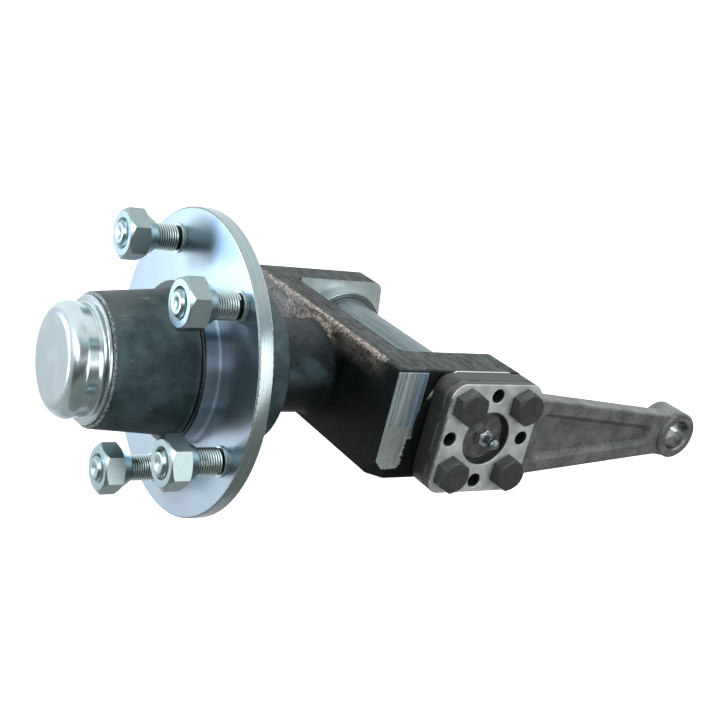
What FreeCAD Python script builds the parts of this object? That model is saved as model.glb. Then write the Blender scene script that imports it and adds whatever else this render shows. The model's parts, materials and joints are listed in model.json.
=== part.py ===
import FreeCAD, Part

import math
import os

Vector = FreeCAD.Vector

# Unbraked steering stub axle: a forged knuckle turns on a kingpin through a weld-on pivot tube,
# and a five-stud wheel hub runs on its spindle.
# The origin is where the kingpin axis crosses the spindle axis.
# +Z runs up the kingpin to the steering arm, +Y runs out along the spindle to the hub cap.
# All sizes are millimetres.

# Knuckle yoke
yoke_half_width = 34.6
web_inner_y = 40.0
web_outer_y = 60.0
upper_arm_inner_z = 59.5
upper_arm_thick = 28.5
lower_arm_inner_z = -69.5
lower_arm_thick = 25.5
lower_pad_raise = 2.0
lower_pad_edge_y = 29.0
arm_end_y = -37.0
arm_end_bow = 5.5
arm_corner_r = 6.5
lower_arm_setback = 1.0
seat_r = 40.0
seat_raise = 1.5
yoke_inner_fillet = 6.0
yoke_outer_fillet = 8.0
forging_edge_r = 2.5
milled_side_edge_r = 3.0
milled_corner_cut = 12.0
lower_edge_r = 4.0
end_draft = 2.2

# Spindle forged with the yoke
root_boss_r = 29.0
root_boss_fillet = 5.5
root_boss_side_gap = 0.3
boss_to_hub_gap = 5.5
seal_land_step = 5.0
spindle_waist_gap = 0.6
thread_step = 3.0
pin_beyond_hex = 2.6
tip_beyond_pin = 5.9
split_pin_r = 2.3

# Kingpin and pivot tube
kingpin_r = 16.0
kingpin_tip_gap = 0.3
kingpin_foot_z = -89.0
kingpin_chamfer = 1.0
grease_way_r = 2.5
grease_way_tail = 4.0
grease_cross_r = 1.9
grease_cross_z = 38.0
bush_wall = 3.0
bush_length = 32.0
bush_clearance = 0.04
tube_r = 24.5
tube_bottom_z = -57.6
top_washer_thick = 1.6
top_washer_r = 24.0
end_float = 0.1
lock_pin_r = 4.0
lock_pin_wall = 1.2
lock_pin_bite = 2.5
lock_pin_reach = 12.0
plug_thick = 2.5
plug_depth = 1.5

# Shrouded thrust bearing under the pivot tube
thrust_r = 30.4
shroud_wall = 1.2
shroud_gap = 0.4
shroud_lip_r = 26.2
thrust_race_thick = 3.0
thrust_pitch_r = 21.0
thrust_ball_count = 16
ball_clearance = 0.02
thrust_cage_half_width = 3.9
thrust_cage_thick = 1.6

# Steering arm, cap plate and their bolts
plate_half = 34.5
plate_corner_r = 10.0
arm_thick = 12.5
cap_plate_thick = 5.0
cap_recess_r = 16.4
arm_bolt_pitch = 42.4
arm_bolt_r = 6.0
arm_bolt_clearance = 0.5
arm_bolt_depth = 20.0
arm_bolt_flats = 19.0
arm_bolt_head = 7.6
arm_bolt_chamfer = 2.6
dowel_circle_r = 27.0
dowel_r = 4.1
dowel_chamfer = 0.7
beam_offset_x = -2.0
beam_root_half = 25.6
beam_tip_half = 14.2
beam_tip_y = -152.0
beam_rib = 9.2
pocket_depth = 3.4
pocket_start_y = -46.0
pocket_end_y = -143.5
pocket_draft = 2.6
pocket_lip = 0.8
pocket_corner_r = 4.0
eye_y = -168.3
eye_r = 15.9
eye_bore_r = 9.6
eye_height = 22.0
eye_proud = 2.0
eye_chamfer = 1.0
beam_root_fillet = 5.0
neck_easing = 0.95
beam_flare_length = 14.0
beam_flare_r = 20.0
arm_edge_r = 1.6
cap_plate_edge_r = 0.8

# Grease nipple
nipple_flats = 9.0
nipple_base = 5.0
nipple_neck_r = 2.6
nipple_ball_r = 3.3
nipple_length = 15.5
nipple_thread_r = 3.0
nipple_thread_length = 5.0

# Wheel hub
flange_face_y = 147.5
flange_r = 90.0
flange_thick = 9.2
flange_chamfer = 1.2
spigot_step = 4.7
spigot_length = 10.0
nose_taper = 4.2
nose_wall = 5.1
nose_beyond_bearing = 19.0
rear_barrel_wall = 10.8
rear_wall_depth = 7.0
hub_fillet = 5.0
cavity_step = 4.5
hub_edge_r = 1.6

# Wheel studs and nuts
stud_count = 5
stud_edge_distance = 17.0
stud_first_angle = 331.15
stud_r = 8.0
stud_root_r = 7.5
stud_press_r = 8.4
stud_tip_y = 185.0
stud_chamfer = 1.2
stud_head_r = 10.5
stud_head_thick = 3.5
nut_flats = 27.0
nut_seat_y = 164.6
nut_seat_length = 6.0
nut_seat_small_r = 9.4
nut_seat_large_r = 12.9
nut_hex_length = 12.2
nut_front_chamfer = 2.4
nut_mouth = 1.7
stud_relief = 0.6
nut_corner_angles = (59.0, 1.5, 41.5, 40.5, 15.0)

# Taper roller bearings, inner one beside the seal and outer one beside the nut
race_angle = 14.036
roller_half_angle = 1.9
roller_count = 17
roller_clearance = 0.03
roller_rib_gap = 0.15
cage_lift = 0.9
cage_thick = 1.1
cage_pocket_gap = 0.15
rib_height_share = 0.42
inner_bearing = {
    "outer_r": 36.0, "section": 18.5, "width": 18.25, "cone_width": 17.0, "cup_width": 15.0,
    "race_drop": 6.58, "roller_length": 11.6,
}
outer_bearing = {
    "outer_r": 31.0, "section": 16.0, "width": 17.25, "cone_width": 16.0, "cup_width": 14.0,
    "race_drop": 6.005, "roller_length": 10.6,
}
inner_bearing_y = 109.0
outer_bearing_y = 186.0
large_rib = 3.1
small_rib_height = 0.9
seal_inset = 0.6
seal_to_bearing_gap = 0.4
seal_lip_clearance = 0.05
seal_case_wall = 1.5
seal_lip_width = 3.0

# Spindle washer, castle nut and split pin
spindle_washer_thick = 3.5
spindle_washer_step = 8.0
spindle_washer_clearance = 0.3
castle_wall = 6.0
castle_hex_length = 8.5
castle_crown_length = 6.0
castle_crown_step = 4.0
castle_slot = 5.4
castle_slots = 6
pin_clearance = 0.2
split_pin_leg = 9.0

# Hub cap
cap_wall = 1.4
cap_seat_step = 2.0
cap_skirt_length = 8.5
cap_rim_step = 3.0
cap_rim_thick = 2.4
cap_neck_step = 1.3
cap_bead_height = 1.1
cap_bead_beyond_nose = 12.5
cap_neck_before_bead = 6.5
cap_face_beyond_nose = 20.6
cap_face_corner = 9.2

# Places worked out from the sizes above
upper_arm_outer_z = upper_arm_inner_z + upper_arm_thick
seat_z = upper_arm_outer_z + seat_raise
arm_top_z = seat_z + arm_thick
cap_top_z = arm_top_z + cap_plate_thick
lower_arm_outer_z = lower_arm_inner_z - lower_arm_thick
lower_pad_z = lower_arm_outer_z - lower_pad_raise
kingpin_tip_z = arm_top_z - kingpin_tip_gap
tube_top_z = upper_arm_inner_z - top_washer_thick - end_float
flange_back_y = flange_face_y - flange_thick
spigot_end_y = flange_face_y + spigot_length
bush_outer_r = kingpin_r + bush_clearance + bush_wall
eye_top_z = arm_top_z + eye_proud
for bearing in (inner_bearing, outer_bearing):
    bearing["bore_r"] = bearing["outer_r"] - bearing["section"]
    bearing["small_race_r"] = bearing["outer_r"] - bearing["race_drop"]
rear_face_y = inner_bearing_y - rear_wall_depth
rear_barrel_r = inner_bearing["outer_r"] + rear_barrel_wall
root_boss_end_y = rear_face_y - boss_to_hub_gap
seal_land_r = inner_bearing["bore_r"] + seal_land_step
seal_width = rear_wall_depth - seal_inset - seal_to_bearing_gap
cavity_r = outer_bearing["outer_r"] - cavity_step
nose_end_y = outer_bearing_y + nose_beyond_bearing
cap_skirt_r = outer_bearing["outer_r"] + cap_seat_step
cap_rim_r = cap_skirt_r + cap_rim_step
cap_neck_r = cap_skirt_r - cap_neck_step
cap_bead_r = cap_neck_r + cap_bead_height
cap_bead_y = nose_end_y + cap_bead_beyond_nose
cap_face_y = nose_end_y + cap_face_beyond_nose
nose_end_r = cap_skirt_r + nose_wall
nose_root_r = nose_end_r + nose_taper
spigot_r = nose_root_r + spigot_step
stud_circle_r = flange_r - stud_edge_distance
spindle_thread_r = outer_bearing["bore_r"] - thread_step
spindle_pin_y = outer_bearing_y + spindle_washer_thick + castle_hex_length + pin_beyond_hex
spindle_tip_y = spindle_pin_y + tip_beyond_pin
spindle_washer_r = spindle_thread_r + spindle_washer_step
castle_flats = 2 * (spindle_thread_r + castle_wall)
castle_crown_r = spindle_thread_r + castle_crown_step


def on_xy(height):
    """Gives the point maker for outlines drawn across the kingpin axis."""
    return lambda u, v: Vector(u, v, height)


def on_xz(depth):
    """Gives the point maker for outlines drawn across the spindle axis."""
    return lambda u, v: Vector(u, depth, v)


def on_yz(side):
    """Gives the point maker for outlines drawn across the X axis."""
    return lambda u, v: Vector(side, u, v)


def rounded_wire(corners, place):
    """Closes a wire through corners (u, v, radius), with an arc where a corner has a radius."""
    spans = []
    count = len(corners)
    for index, (u, v, radius) in enumerate(corners):
        before = corners[index - 1]
        after = corners[(index + 1) % count]
        to_before = Vector(before[0] - u, before[1] - v, 0).normalize()
        to_after = Vector(after[0] - u, after[1] - v, 0).normalize()
        half = to_before.getAngle(to_after) / 2
        here = Vector(u, v, 0)
        if radius <= 0:
            spans.append((here, None, here))
            continue
        reach = radius / math.tan(half)
        middle = (to_before + to_after).normalize()
        dip = radius / math.sin(half) - radius
        spans.append((here + to_before * reach, here + middle * dip, here + to_after * reach))
    edges = []
    for index, (start, middle, end) in enumerate(spans):
        if middle is not None:
            arc = Part.Arc(place(start.x, start.y), place(middle.x, middle.y), place(end.x, end.y))
            edges.append(arc.toShape())
        following = spans[(index + 1) % count][0]
        if end.distanceToPoint(following) > 1e-6:
            line = Part.LineSegment(place(end.x, end.y), place(following.x, following.y))
            edges.append(line.toShape())
    return Part.Wire(edges)


def slab(corners, place, direction):
    """Extrudes a rounded outline along a direction vector."""
    return Part.Face(rounded_wire(corners, place)).extrude(direction)


def turned_on_y(corners):
    """Turns a profile of (radius, y, corner radius) round the spindle axis."""
    face = Part.Face(rounded_wire(corners, on_xy(0)))
    return face.revolve(Vector(0, 0, 0), Vector(0, 1, 0), 360)


def turned_on_z(corners):
    """Turns a profile of (radius, z, corner radius) round the kingpin axis."""
    face = Part.Face(rounded_wire(corners, on_xz(0)))
    return face.revolve(Vector(0, 0, 0), Vector(0, 0, 1), 360)


def sleeve_y(outer_r, inner_r, start_y, end_y):
    """A plain ring on the spindle axis."""
    return turned_on_y([
        (inner_r, start_y, 0), (outer_r, start_y, 0), (outer_r, end_y, 0), (inner_r, end_y, 0),
    ])


def sleeve_z(outer_r, inner_r, start_z, end_z):
    """A plain ring on the kingpin axis."""
    return turned_on_z([
        (inner_r, start_z, 0), (outer_r, start_z, 0), (outer_r, end_z, 0), (inner_r, end_z, 0),
    ])


def rod_z(radius, start_z, end_z, x=0.0, y=0.0):
    """A cylinder parallel to the kingpin."""
    return Part.makeCylinder(radius, end_z - start_z, Vector(x, y, start_z), Vector(0, 0, 1))


def rod_y(radius, start_y, end_y, x=0.0, z=0.0):
    """A cylinder parallel to the spindle."""
    return Part.makeCylinder(radius, end_y - start_y, Vector(x, start_y, z), Vector(0, 1, 0))


def hexagon(flats):
    """Corners of a hexagon by its width across flats."""
    corner = flats / math.sqrt(3)
    angles = [math.radians(60 * step) for step in range(6)]
    return [(corner * math.cos(angle), corner * math.sin(angle), 0) for angle in angles]


def bolt_places():
    """Centres of the four arm bolts, a square round the kingpin."""
    half = arm_bolt_pitch / 2
    return [(half, half), (half, -half), (-half, -half), (-half, half)]


def dowel_places():
    """Centres of the four small holes between the arm bolts."""
    return [
        (dowel_circle_r * math.cos(math.radians(90 * step)),
         dowel_circle_r * math.sin(math.radians(90 * step)))
        for step in range(4)
    ]


def stud_angles():
    """Angle of each wheel stud, from +X towards +Z."""
    return [stud_first_angle + 360.0 / stud_count * step for step in range(stud_count)]


def at_stud(shape, angle):
    """Carries a shape from the spindle axis to a stud's place."""
    turned = shape.copy()
    turned.translate(Vector(stud_circle_r, 0, 0))
    turned.rotate(Vector(0, 0, 0), Vector(0, 1, 0), -angle)
    return turned


def yoke_arm_outline(half_width, outer_y, setback=0.0):
    """Plan of a yoke arm: straight sides, with an end that bows round the kingpin."""
    end_y = arm_end_y + setback
    side_y = end_y + arm_end_bow
    return [
        (half_width, outer_y, 0), (half_width, side_y, arm_corner_r), (0, end_y, seat_r),
        (-half_width, side_y, arm_corner_r), (-half_width, outer_y, 0),
    ]


def yoke_plan(start_z, end_z, setback):
    """Block with the plan of the yoke's arms, its two web corners rounded."""
    outline = yoke_arm_outline(yoke_half_width, web_outer_y, setback)
    outline[0] = (yoke_half_width, web_outer_y, forging_edge_r)
    outline[-1] = (-yoke_half_width, web_outer_y, milled_side_edge_r)
    return slab(outline, on_xy(start_z), Vector(0, 0, end_z - start_z))


def milled_corner():
    """Wedge that takes off the yoke's corner beside the milled flat."""
    normal = Vector(-1, 1, 1).normalize()
    corner = Vector(-yoke_half_width, web_outer_y, upper_arm_outer_z)
    middle = corner - normal * (milled_corner_cut / math.sqrt(3))
    points = []
    for along in (Vector(1, 0, 0), Vector(0, -1, 0), Vector(0, 0, -1)):
        points.append(middle + (corner + along * milled_corner_cut - middle) * 2)
    return Part.Face(Part.makePolygon(points + points[:1])).extrude(normal * milled_corner_cut)


def yoke():
    """The C-shaped yoke before its bores: side profile cut to the plan of its arms."""
    upper_middle_z = upper_arm_inner_z + upper_arm_thick / 2
    lower_middle_z = lower_arm_inner_z - lower_arm_thick / 2
    drawn_back_y = arm_end_y + end_draft
    profile = [
        (web_outer_y, upper_arm_outer_z, 0), (drawn_back_y, upper_arm_outer_z, 0),
        (arm_end_y, upper_middle_z, 3.0), (drawn_back_y, upper_arm_inner_z, 0),
        (web_inner_y, upper_arm_inner_z, yoke_inner_fillet),
        (web_inner_y, lower_arm_inner_z, yoke_inner_fillet), (drawn_back_y, lower_arm_inner_z, 0),
        (arm_end_y, lower_middle_z, 3.0), (drawn_back_y, lower_arm_outer_z, 0),
        (web_outer_y, lower_arm_outer_z, yoke_outer_fillet),
    ]
    side = slab(profile, on_yz(-yoke_half_width), Vector(2 * yoke_half_width, 0, 0))
    plan = yoke_plan(0, upper_arm_outer_z, 0)
    plan = plan.fuse(yoke_plan(lower_arm_outer_z, 0, lower_arm_setback)).removeSplitter()
    front = slab([
        (yoke_half_width, upper_arm_outer_z, forging_edge_r),
        (-yoke_half_width, upper_arm_outer_z, milled_side_edge_r),
        (-yoke_half_width, lower_arm_outer_z, lower_edge_r), (yoke_half_width, lower_arm_outer_z, lower_edge_r),
    ], on_xz(arm_end_y - 1), Vector(0, web_outer_y - arm_end_y + 2, 0))
    return side.common(plan).common(front).cut(milled_corner())


def yoke_pads():
    """The machined seat under the steering arm and the pad under the lower arm."""
    seat_wall = seat_raise + milled_side_edge_r
    round_seat = rod_z(seat_r, seat_z - seat_wall, seat_z)
    limits = slab(
        yoke_arm_outline(yoke_half_width, web_outer_y), on_xy(seat_z - seat_wall), Vector(0, 0, seat_wall))
    lower = slab(
        yoke_arm_outline(yoke_half_width - lower_edge_r, lower_pad_edge_y, lower_arm_setback),
        on_xy(lower_pad_z),
        Vector(0, 0, lower_pad_raise))
    return [round_seat.common(limits), lower]


def spindle():
    """Root boss, seal land, bearing journals and threaded end, turned on the spindle axis."""
    inner_r = inner_bearing["bore_r"]
    outer_r = outer_bearing["bore_r"]
    inner_end = inner_bearing_y + inner_bearing["cone_width"]
    outer_start = outer_bearing_y - outer_bearing["cone_width"]
    boss_base_y = web_outer_y - root_boss_fillet
    skirt_r = root_boss_r + root_boss_fillet
    boss = turned_on_y([
        (0, boss_base_y, 0), (skirt_r, boss_base_y, 0), (skirt_r, web_outer_y, 0),
        (root_boss_r, web_outer_y, root_boss_fillet),
        (root_boss_r, root_boss_end_y, 2), (seal_land_r, root_boss_end_y, 0),
        (seal_land_r, inner_bearing_y, 0.5), (inner_r, inner_bearing_y, 0),
        (inner_r, inner_end + 1, 0), (inner_r - spindle_waist_gap, inner_end + 2, 0),
        (outer_r + spindle_waist_gap, outer_start - 2, 0), (outer_r, outer_start - 1, 0),
        (outer_r, outer_bearing_y - 0.5, 0), (spindle_thread_r, outer_bearing_y - 0.5, 0),
        (spindle_thread_r, spindle_tip_y - 1.5, 0), (spindle_thread_r - 1.5, spindle_tip_y, 0),
        (0, spindle_tip_y, 0),
    ])
    side_cut = Part.makeBox(
        skirt_r, 2 * root_boss_fillet + 2, 2 * skirt_r,
        Vector(-root_boss_r - root_boss_side_gap - skirt_r, boss_base_y - 1, -skirt_r))
    return boss.cut([pin_hole(), side_cut])


def pin_hole():
    """Cross hole for the split pin."""
    radius = split_pin_r + pin_clearance
    return Part.makeCylinder(
        radius, 2 * spindle_thread_r + 2, Vector(-spindle_thread_r - 1, spindle_pin_y, 0), Vector(1, 0, 0))


def lock_pin_axis():
    """Start point and length of the pin that locks the kingpin in the lower arm."""
    offset = kingpin_r + lock_pin_r - lock_pin_bite
    middle_z = (lower_arm_inner_z + lower_arm_outer_z) / 2
    return Vector(-yoke_half_width, offset, middle_z), yoke_half_width + lock_pin_reach


def knuckle():
    """The forging: yoke, machined pads and spindle in one piece, bored for its kingpin and bolts."""
    body = yoke().fuse(yoke_pads() + [spindle()])
    bore = rod_z(kingpin_r, lower_pad_z - 1, seat_z + 1)
    start, length = lock_pin_axis()
    tools = [bore, Part.makeCylinder(lock_pin_r, length, start, Vector(1, 0, 0))]
    for x, y in bolt_places():
        tools.append(rod_z(arm_bolt_r, seat_z - arm_bolt_depth, seat_z + 1, x, y))
    return body.cut(tools).removeSplitter()


def kingpin():
    """Hardened pin with its grease way, locked in the lower arm."""
    pin = turned_on_z([
        (0, kingpin_foot_z, 0), (kingpin_r - kingpin_chamfer, kingpin_foot_z, 0),
        (kingpin_r, kingpin_foot_z + kingpin_chamfer, 0), (kingpin_r, kingpin_tip_z - kingpin_chamfer, 0),
        (kingpin_r - kingpin_chamfer, kingpin_tip_z, 0), (0, kingpin_tip_z, 0),
    ])
    start, length = lock_pin_axis()
    cuts = [
        rod_z(nipple_thread_r, kingpin_tip_z - nipple_thread_length, kingpin_tip_z + 1),
        rod_z(grease_way_r, -grease_cross_z - grease_way_tail, kingpin_tip_z - nipple_thread_length + 1),
        Part.makeCylinder(lock_pin_r, length, start, Vector(1, 0, 0)),
    ]
    for height in (-grease_cross_z, grease_cross_z):
        cuts.append(rod_y(grease_cross_r, 0, kingpin_r + 1, 0, height))
    return pin.cut(cuts)


def lock_pin():
    """Rolled spring pin with its slot, flush with the lower arm."""
    start, length = lock_pin_axis()
    along = Vector(1, 0, 0)
    tube = Part.makeCylinder(lock_pin_r, length, start, along)
    hollow = Part.makeCylinder(lock_pin_r - lock_pin_wall, length + 2, start - along, along)
    slot_start = start + Vector(-1, -lock_pin_wall / 2, -2 * lock_pin_r)
    slot = Part.makeBox(length + 2, lock_pin_wall, 2 * lock_pin_r, slot_start)
    return tube.cut([hollow, slot])


def kingpin_plug():
    """Dished plug pressed into the foot of the kingpin bore."""
    bottom = lower_pad_z + plug_depth
    top = bottom + plug_thick
    return turned_on_z([
        (0, bottom + plug_thick / 2, 0), (kingpin_r * 0.55, bottom + plug_thick / 2, 6),
        (kingpin_r - 2, bottom, 1), (kingpin_r, bottom, 0), (kingpin_r, top, 0), (0, top, 0),
    ])


def pivot_tube():
    """Weld-on tube that the axle beam carries, bored for the two bushes."""
    chamfer = 1.0
    return turned_on_z([
        (bush_outer_r, tube_bottom_z, 0), (tube_r - chamfer, tube_bottom_z, 0),
        (tube_r, tube_bottom_z + chamfer, 0), (tube_r, tube_top_z - chamfer, 0),
        (tube_r - chamfer, tube_top_z, 0), (bush_outer_r, tube_top_z, 0),
    ])


def bush(start_z):
    """Plain bronze bush pressed into the pivot tube."""
    return sleeve_z(bush_outer_r, kingpin_r + bush_clearance, start_z, start_z + bush_length)


def top_washer():
    """Hardened washer that sets the end float under the upper arm."""
    return sleeve_z(top_washer_r, kingpin_r, upper_arm_inner_z - top_washer_thick, upper_arm_inner_z)


def thrust_bearing():
    """Shroud, two races, ball cage and balls between the lower arm and the pivot tube."""
    floor_z = lower_arm_inner_z
    race_top_z = floor_z + thrust_race_thick
    upper_race_z = tube_bottom_z - thrust_race_thick
    ball_r = (upper_race_z - race_top_z) / 2 - ball_clearance
    ball_z = (upper_race_z + race_top_z) / 2
    lip_top_z = tube_bottom_z - 1.0
    inner_wall_r = thrust_r - shroud_wall
    bottom_race = sleeve_z(inner_wall_r, kingpin_r, floor_z, race_top_z)
    shroud = turned_on_z([
        (inner_wall_r, floor_z, 0), (thrust_r, floor_z, 0), (thrust_r, lip_top_z, 1.5),
        (shroud_lip_r, lip_top_z, 0), (shroud_lip_r, lip_top_z - shroud_wall, 0),
        (inner_wall_r, lip_top_z - shroud_wall, 0.3),
    ])
    top_race = sleeve_z(shroud_lip_r - shroud_gap, kingpin_r + bush_clearance, upper_race_z, tube_bottom_z)
    cage = sleeve_z(
        thrust_pitch_r + thrust_cage_half_width, thrust_pitch_r - thrust_cage_half_width,
        ball_z - thrust_cage_thick / 2, ball_z + thrust_cage_thick / 2)
    balls = []
    pockets = []
    for step in range(thrust_ball_count):
        angle = 2 * math.pi * step / thrust_ball_count
        x = thrust_pitch_r * math.cos(angle)
        y = thrust_pitch_r * math.sin(angle)
        balls.append(Part.makeSphere(ball_r, Vector(x, y, ball_z)))
        pockets.append(rod_z(ball_r + 0.1, ball_z - ball_r, ball_z + ball_r, x, y))
    return {
        "thrust_bottom_race": bottom_race,
        "thrust_shroud": shroud,
        "thrust_top_race": top_race,
        "thrust_cage": cage.cut(pockets),
        "thrust_balls": Part.makeCompound(balls),
    }


def plate_outline():
    """Rounded square shared by the arm's head and the cap plate."""
    half = plate_half
    radius = plate_corner_r
    return [(half, half, radius), (-half, half, radius), (-half, -half, radius), (half, -half, radius)]


def head_holes(bottom_z, top_z, centre_r):
    """Holes through the arm's head or the cap plate."""
    holes = [rod_z(centre_r, bottom_z - 1, top_z + 1)]
    for x, y in bolt_places():
        holes.append(rod_z(arm_bolt_r + arm_bolt_clearance, bottom_z - 1, top_z + 1, x, y))
    for x, y in dowel_places():
        holes.append(rod_z(dowel_r, bottom_z - 1, top_z + 1, x, y))
    return holes


def beam_half(y):
    """Half width of the steering arm's beam at a distance along it."""
    share = (y + plate_half) / (beam_tip_y + plate_half)
    return beam_root_half + (beam_tip_half - beam_root_half) * share


def pocket_outline(inset):
    """Plan of the pocket, set in from its nominal edge."""
    start = pocket_start_y - inset
    end = pocket_end_y + inset
    wide = beam_half(pocket_start_y) - beam_rib - inset
    narrow = beam_half(pocket_end_y) - beam_rib - inset
    radius = max(min(pocket_corner_r, narrow * 0.9) - inset * 0.5, 0.5)
    return [
        (beam_offset_x + wide, start, radius), (beam_offset_x + narrow, end, radius),
        (beam_offset_x - narrow, end, radius), (beam_offset_x - wide, start, radius),
    ]


def pocket(top):
    """Forged pocket in one face of the beam, with an eased lip and sloping walls."""
    side = 1 if top else -1
    face_z = arm_top_z if top else seat_z
    steps = ((0.0, -pocket_lip), (pocket_lip, 0.0), (pocket_depth, pocket_draft))
    outlines = [
        rounded_wire(pocket_outline(inset), on_xy(face_z - side * depth)) for depth, inset in steps
    ]
    skim = slab(pocket_outline(-pocket_lip), on_xy(face_z), Vector(0, 0, side * pocket_lip))
    return [Part.makeLoft(outlines, True, True), skim]


def neck_corners(side):
    """Outer and inner corner where the beam leaves the arm's head, on one side."""
    reach = plate_corner_r + beam_root_fillet
    centre_x = side * (plate_half - plate_corner_r)
    beam_x = beam_offset_x + side * beam_half(-plate_half)
    across = beam_x + side * beam_root_fillet - centre_x
    down = math.sqrt(reach ** 2 - across ** 2)
    joint_x = centre_x + across * plate_corner_r / reach
    joint_y = plate_corner_r - plate_half - down * plate_corner_r / reach
    slope = across / down
    return [
        (side * plate_half, joint_y + (side * plate_half - joint_x) * slope, plate_corner_r * neck_easing),
        (beam_x, joint_y + (beam_x - joint_x) * slope, beam_root_fillet * neck_easing),
    ]


def arm_outline():
    """Plan of the steering arm: square head, tapering beam, and a flare that meets the eye."""
    half = plate_half
    flare_y = eye_y + beam_flare_length
    flare_half = beam_half(flare_y)
    distance = math.hypot(flare_half, beam_flare_length)
    turn = math.atan2(beam_flare_length, flare_half) - math.acos(eye_r / distance)
    touch_x = eye_r * math.cos(turn)
    touch_y = eye_y + eye_r * math.sin(turn)
    outline = []
    for side in (1, -1):
        run = [
            (side * half, half, plate_corner_r), *neck_corners(side),
            (beam_offset_x + side * flare_half, flare_y, beam_flare_r),
            (beam_offset_x + side * touch_x, touch_y, 0),
        ]
        outline += run if side == 1 else run[::-1]
        if side == 1:
            outline.append((beam_offset_x, eye_y, 0))
    return outline


def steering_arm():
    """Forged arm: square head, tapering ribbed beam and an eye for the track rod."""
    blank = slab(arm_outline(), on_xy(seat_z), Vector(0, 0, arm_thick))
    centre = Vector(beam_offset_x, eye_y, seat_z + arm_thick / 2)
    rims = [
        edge for edge in blank.Edges
        if edge.BoundBox.ZLength < 0.01 and edge.CenterOfMass.distanceToPoint(centre) > eye_r
    ]
    blank = blank.makeFillet(arm_edge_r, rims)
    eye_bottom_z = eye_top_z - eye_height
    eye = rod_z(eye_r, eye_bottom_z, eye_top_z, beam_offset_x, eye_y)
    eye = eye.makeChamfer(eye_chamfer, [edge for edge in eye.Edges if edge.BoundBox.ZLength < 0.01])
    cuts = head_holes(seat_z, arm_top_z, kingpin_r)
    cuts += pocket(True) + pocket(False)
    cuts.append(rod_z(eye_bore_r, eye_bottom_z - 1, eye_top_z + 1, beam_offset_x, eye_y))
    for end_z, direction in ((eye_top_z, -1), (eye_bottom_z, 1)):
        mouth = Part.makeCone(
            eye_bore_r + eye_chamfer, eye_bore_r, eye_chamfer,
            Vector(beam_offset_x, eye_y, end_z), Vector(0, 0, direction))
        cuts.append(mouth)
    return blank.fuse(eye).cut(cuts).removeSplitter()


def cap_plate():
    """Bright square plate over the kingpin's end."""
    plate = slab(plate_outline(), on_xy(arm_top_z), Vector(0, 0, cap_plate_thick))
    plate = plate.makeFillet(cap_plate_edge_r, [edge for edge in plate.Edges if edge.BoundBox.ZLength < 0.01])
    cuts = head_holes(arm_top_z, cap_top_z, cap_recess_r)
    for x, y in dowel_places():
        cuts.append(Part.makeCone(
            dowel_r + dowel_chamfer, dowel_r, dowel_chamfer, Vector(x, y, cap_top_z), Vector(0, 0, -1)))
    cuts.append(Part.makeCone(
        cap_recess_r + dowel_chamfer, cap_recess_r, dowel_chamfer,
        Vector(0, 0, cap_top_z), Vector(0, 0, -1)))
    return plate.cut(cuts)


def chamfered_hex(flats, height, chamfer):
    """Hexagon standing on z = 0, with the corners of its top face turned off."""
    prism = slab(hexagon(flats), on_xy(0), Vector(0, 0, height))
    corner_r = flats / math.sqrt(3)
    flat_r = flats / 2
    limit = turned_on_z([
        (0, 0, 0), (corner_r + 1, 0, 0), (corner_r + 1, height - chamfer, 0),
        (flat_r - chamfer / 4, height, 0), (0, height, 0),
    ])
    return prism.common(limit)


def arm_bolt(x, y):
    """Hexagon bolt that holds the cap plate and the arm on the knuckle."""
    head = chamfered_hex(arm_bolt_flats, arm_bolt_head, arm_bolt_chamfer)
    head.translate(Vector(x, y, cap_top_z))
    shank = rod_z(arm_bolt_r, seat_z - arm_bolt_depth, cap_top_z, x, y)
    return head.fuse(shank).removeSplitter()


def grease_nipple():
    """Straight nipple screwed into the kingpin's end."""
    base_top = kingpin_tip_z + nipple_base
    tip = kingpin_tip_z + nipple_length
    base = chamfered_hex(nipple_flats, nipple_base, 0.7)
    base.translate(Vector(0, 0, kingpin_tip_z))
    stem = turned_on_z([
        (0, kingpin_tip_z - nipple_thread_length, 0), (nipple_thread_r, kingpin_tip_z - nipple_thread_length, 0),
        (nipple_thread_r, base_top, 0), (nipple_neck_r, base_top + 2, 1), (nipple_neck_r, tip - 5.5, 0.8),
        (nipple_ball_r, tip - 4.2, 0.8), (nipple_ball_r, tip - 2.2, 0.8), (1.6, tip, 0.5), (0, tip, 0),
    ])
    return base.fuse(stem).removeSplitter()


def hub():
    """Cast hub: rear barrel, wheel flange, spigot and tapering nose, bored for bearings and cap."""
    inner_cup_back = inner_bearing_y + inner_bearing["width"]
    outer_cup_back = outer_bearing_y - outer_bearing["width"]
    cap_bore_y = nose_end_y - cap_skirt_length - 0.5
    blank = turned_on_y([
        (inner_bearing["outer_r"], rear_face_y, 0.6), (rear_barrel_r, rear_face_y, hub_edge_r),
        (rear_barrel_r, flange_back_y, hub_fillet), (flange_r, flange_back_y, flange_chamfer),
        (flange_r, flange_face_y, flange_chamfer), (spigot_r, flange_face_y, 0),
        (spigot_r, spigot_end_y, 1.0), (nose_root_r, spigot_end_y, 1.5),
        (nose_end_r, nose_end_y, hub_edge_r), (cap_skirt_r, nose_end_y, 0),
        (cap_skirt_r, cap_bore_y, 0), (outer_bearing["outer_r"], cap_bore_y, 0),
        (outer_bearing["outer_r"], outer_cup_back, 0), (cavity_r, outer_cup_back, 0),
        (cavity_r, inner_cup_back, 0), (inner_bearing["outer_r"], inner_cup_back, 0),
    ])
    holes = [at_stud(rod_y(stud_press_r, flange_back_y - 1, flange_face_y + 1), angle) for angle in stud_angles()]
    return blank.cut(holes)


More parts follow.
